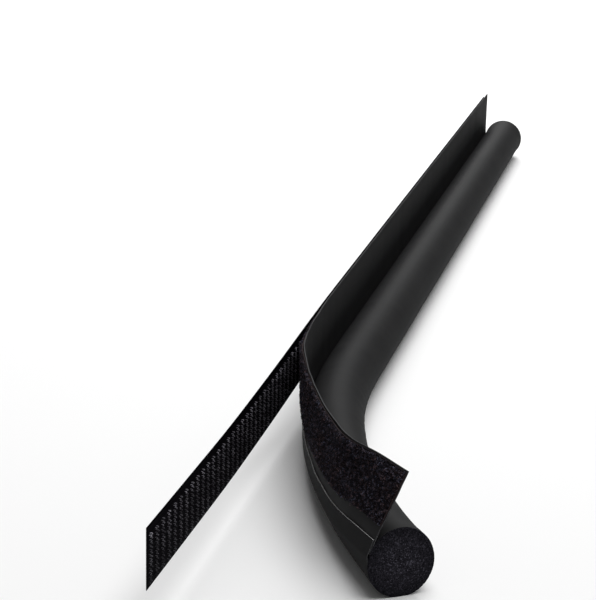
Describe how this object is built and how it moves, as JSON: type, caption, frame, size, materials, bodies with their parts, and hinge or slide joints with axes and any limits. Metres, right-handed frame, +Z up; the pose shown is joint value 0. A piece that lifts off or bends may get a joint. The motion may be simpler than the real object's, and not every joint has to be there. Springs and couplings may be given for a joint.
{
  "type": "draught excluder on hook tape",
  "caption": "Black one-sided draught excluder: a cloth-covered foam roll with a pile-backed flap, partly peeled off its hook tape.",
  "frame": {"origin": "centre of the hook tape's sticky back, where it lies against the door, 35.5 mm above the floor", "axes": "+X along the door to the strip's far end, +Y into the door, +Z up"},
  "size_m": [0.915, 0.0989, 0.0544],
  "materials": {
    "coated_cloth": "smooth matte coated cloth with a soft sheen",
    "foam": "fine-celled foam, cut nearly square",
    "loop_pile": "short fuzzy loop pile",
    "hook_weave": "woven tape with rows of tiny plastic hooks and plain edges"
  },
  "bodies": {
    "root": {"foam_roll": "foam", "cover": "coated_cloth", "pile_tape": "loop_pile", "hook_tape": "hook_weave"}
  },
  "joints": []
}
